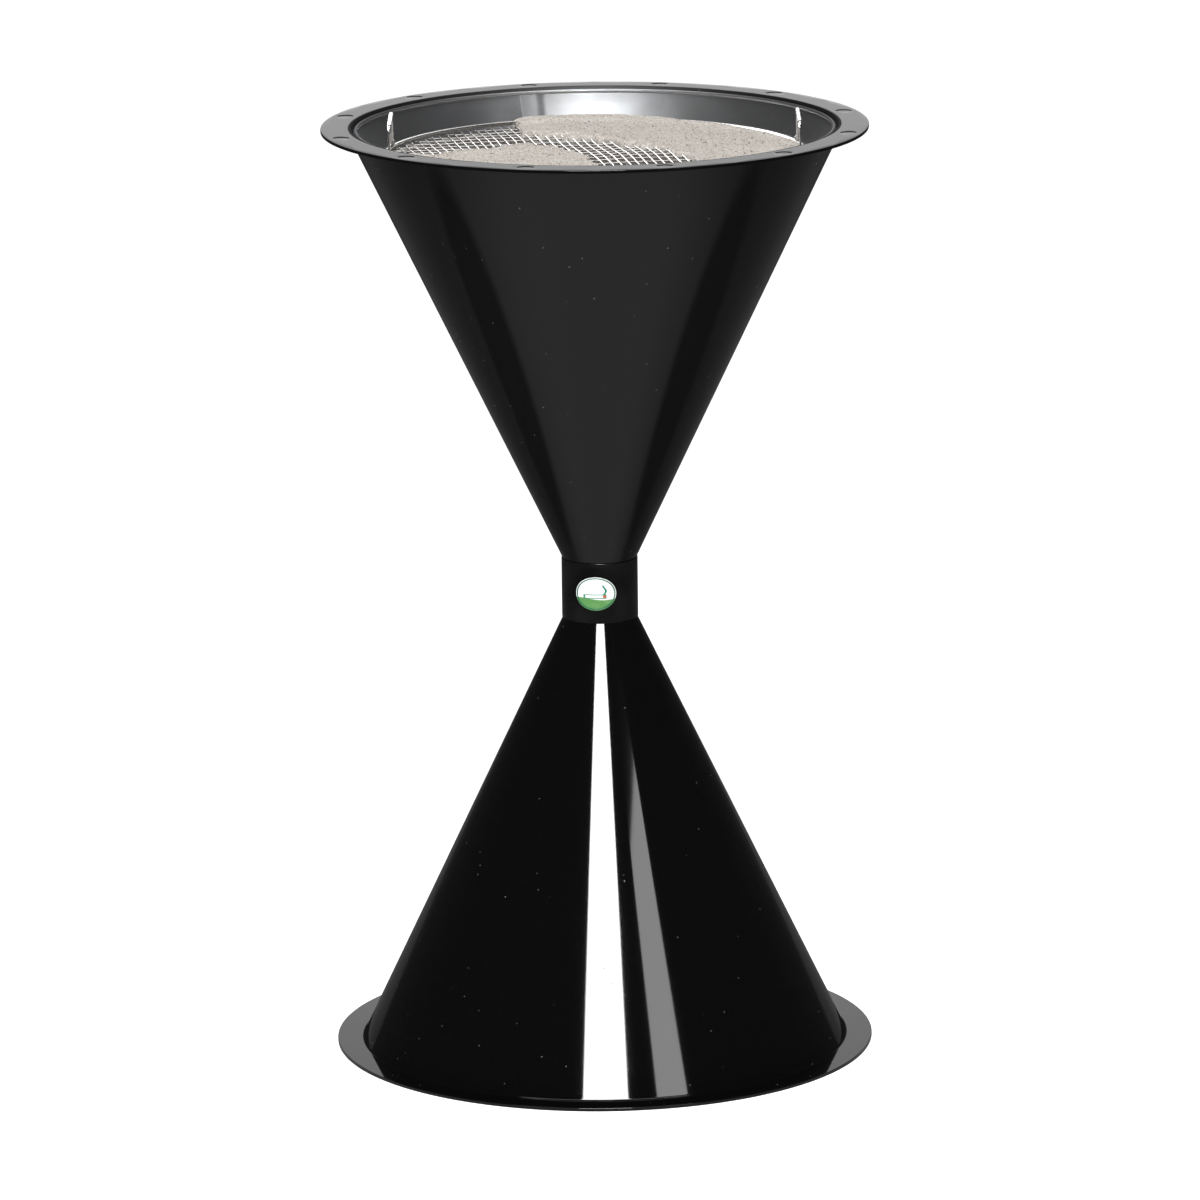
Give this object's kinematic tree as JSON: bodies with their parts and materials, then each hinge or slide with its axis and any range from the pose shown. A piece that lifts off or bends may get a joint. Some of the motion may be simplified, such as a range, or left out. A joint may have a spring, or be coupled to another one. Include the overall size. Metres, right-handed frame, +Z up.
{
  "type": "ashtray bin",
  "caption": "Hourglass floor ashtray: funnel head with a lift-out sand tray and wire sieve, clamped at the neck to an inverted funnel base.",
  "frame": {"origin": "centre of the base flange's underside, on the floor", "axes": "+Z up along the common axis of both funnels, -Y towards the front where the oval label is, +X to the right seen from the front"},
  "size_m": [0.3999, 0.4, 0.6963],
  "materials": {
    "cone_plastic": "high-gloss moulded black plastic, dust specks",
    "sleeve_plastic": "satin extruded black plastic",
    "label_film": "glossy printed film, white with a green ring and a plain pictogram",
    "zinc_steel": "zinc-plated steel",
    "tray_sheet": "rolled zinc-coated sheet steel with shallow dents",
    "sand": "dry pale quartz sand with dark and light grains",
    "sieve_wire": "bright galvanised wire",
    "bail_wire": "bright drawn wire",
    "grip_tube": "bright tube, lightly scuffed"
  },
  "bodies": {
    "stand": {"upper_cone": "cone_plastic", "lower_cone": "cone_plastic", "neck_sleeve": "sleeve_plastic", "neck_label": "label_film", "clamp_bolt": "zinc_steel", "bolt_washers": "zinc_steel", "wing_nut": "zinc_steel"},
    "tray": {"tray_wall": "tray_sheet", "tray_floor": "tray_sheet", "tray_rim_wire": "tray_sheet", "sand_fill": "sand"},
    "sieve": {"sieve_ring": "sieve_wire", "mesh_warp": "sieve_wire", "mesh_weft": "sieve_wire", "bail_eyelets": "sieve_wire"},
    "left_bail": {"bail_left": "bail_wire"},
    "right_bail": {"bail_right": "bail_wire"},
    "left_grip": {"grip_left": "grip_tube"},
    "right_grip": {"grip_right": "grip_tube"}
  },
  "joints": [
    {"name": "tray_lift", "type": "slide", "parent": "stand", "child": "tray", "axis": [0, 0, 1], "range_m": [0, 0.1]},
    {"name": "sieve_lift", "type": "slide", "parent": "tray", "child": "sieve", "axis": [0, 0, 1], "range_m": [0, 0.1]},
    {"name": "left_bail_hinge", "type": "hinge", "parent": "sieve", "child": "left_bail", "pos_m": [-0.14895, 0, 0.6716], "axis": [0, 1, 0], "range_deg": [-35, 90]},
    {"name": "right_bail_hinge", "type": "hinge", "parent": "sieve", "child": "right_bail", "pos_m": [0.14895, 0, 0.6716], "axis": [0, -1, 0], "range_deg": [-35, 90]},
    {"name": "left_grip_turn", "type": "hinge", "parent": "left_bail", "child": "left_grip", "pos_m": [-0.14895, 0, 0.6946], "axis": [0, 1, 0], "continuous": true},
    {"name": "right_grip_turn", "type": "hinge", "parent": "right_bail", "child": "right_grip", "pos_m": [0.14895, 0, 0.6946], "axis": [0, -1, 0], "continuous": true}
  ]
}
